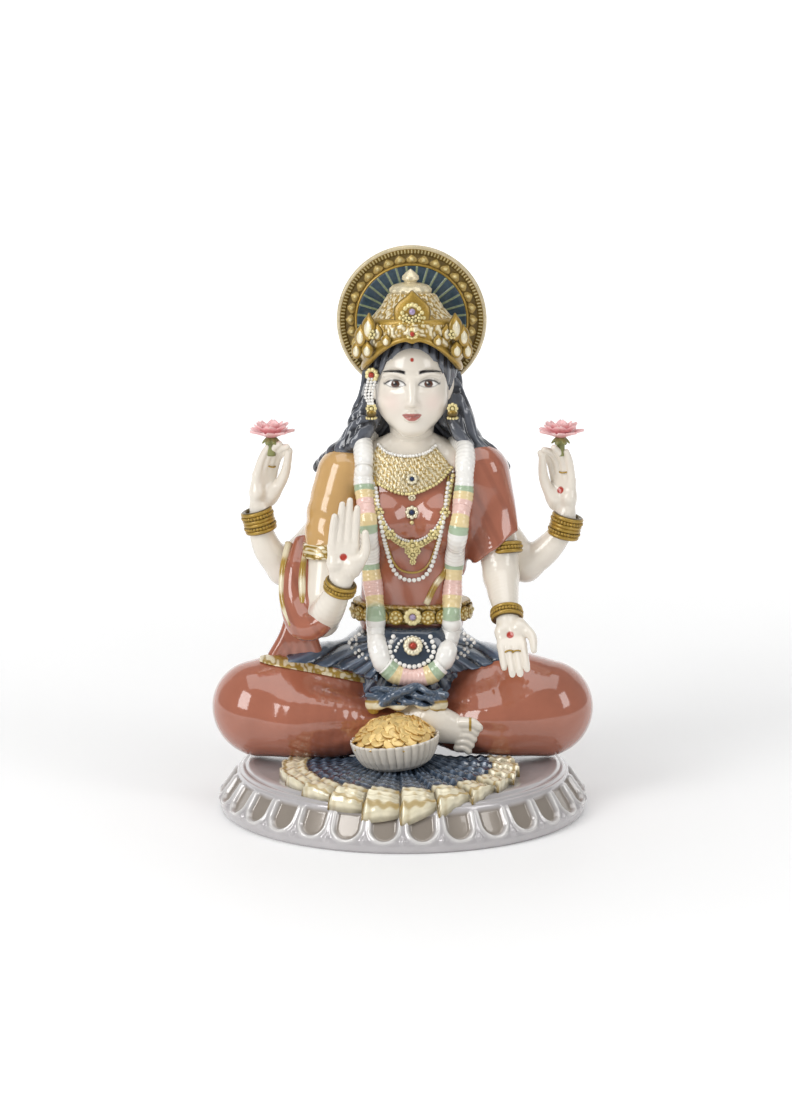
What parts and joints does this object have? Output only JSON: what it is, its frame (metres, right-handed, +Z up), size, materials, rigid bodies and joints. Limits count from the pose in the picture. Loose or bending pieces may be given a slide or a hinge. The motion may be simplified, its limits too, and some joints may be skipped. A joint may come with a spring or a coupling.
{
  "type": "seated goddess figurine",
  "caption": "Seated four-armed goddess figurine in glazed porcelain on a lotus plinth, with halo, crown, garland, lotus flowers and a bowl of coins.",
  "frame": {"origin": "centre of the plinth's footprint, on the surface that it stands on", "axes": "+Z up, the figure faces -Y, +X towards the figure's own left hand"},
  "size_m": [0.217, 0.2074, 0.3109],
  "materials": {
    "pearl_glaze": "pearl lustre glaze",
    "skin_glaze": "clear gloss glaze over cream porcelain",
    "terracotta_glaze": "gloss",
    "slate_glaze": "gloss with darker brushed pleats",
    "ochre_glaze": "gloss",
    "cream_gold_trim": "gloss cream with gold wash",
    "antique_gold": "matt gold with ochre shading in the recesses",
    "lilac_jewel": "gloss enamel",
    "hair_glaze": "gloss slate grey",
    "teal_glaze": "gloss with gold-green rays",
    "white_pearl": "gloss white beads",
    "garland_glaze": "gloss white with pastel bands",
    "lotus_pink": "satin bisque",
    "leaf_green": "satin bisque",
    "bowl_white": "gloss",
    "coin_gold": "bright gold lustre"
  },
  "bodies": {
    "root": {"base_plinth": "pearl_glaze", "right_foot": "skin_glaze", "head": "skin_glaze", "front_right_arm": "skin_glaze", "front_left_arm": "skin_glaze", "rear_right_arm": "skin_glaze", "rear_left_arm": "skin_glaze", "right_leg": "terracotta_glaze", "left_leg": "terracotta_glaze", "torso": "terracotta_glaze", "shawl_shoulder": "terracotta_glaze", "shawl_elbow_swag": "terracotta_glaze", "shawl_tail": "terracotta_glaze", "skirt_body": "slate_glaze", "skirt_panel_right": "slate_glaze", "skirt_panel_left": "slate_glaze", "apron_panel": "slate_glaze", "sash_knot": "slate_glaze", "pleat_fan": "slate_glaze", "sleeve_right": "ochre_glaze", "sleeve_hem_right": "cream_gold_trim", "pleat_fan_hem": "cream_gold_trim", "skirt_hem_right": "antique_gold", "belt": "antique_gold", "apron_medallion": "antique_gold", "crown_band": "antique_gold", "crown_dome": "antique_gold", "crown_finial": "antique_gold", "crown_wing_right": "antique_gold", "crown_wing_left": "antique_gold", "crown_crest": "antique_gold", "halo_rim": "antique_gold", "ear_ornament_right": "antique_gold", "earring_right": "antique_gold", "earring_left": "antique_gold", "collar_necklace": "antique_gold", "pendant_chain": "antique_gold", "middle_necklace": "antique_gold", "armlet_left": "antique_gold", "front_right_bangle": "antique_gold", "front_left_bangle": "antique_gold", "rear_right_bangle": "antique_gold", "rear_left_bangle": "antique_gold", "belt_jewel": "lilac_jewel", "hair_back": "hair_glaze", "hair_lock_right": "hair_glaze", "hair_lock_left": "hair_glaze", "halo_lug": "hair_glaze", "halo_disc": "teal_glaze", "ear_chain_right": "white_pearl", "long_necklace": "white_pearl", "garland_right_strand": "garland_glaze", "garland_left_strand": "garland_glaze", "garland_bottom": "garland_glaze", "lotus_right": "lotus_pink", "lotus_left": "lotus_pink", "lotus_calyx_right": "leaf_green", "lotus_calyx_left": "leaf_green", "coin_bowl": "bowl_white", "coin_heap": "coin_gold"}
  },
  "joints": []
}
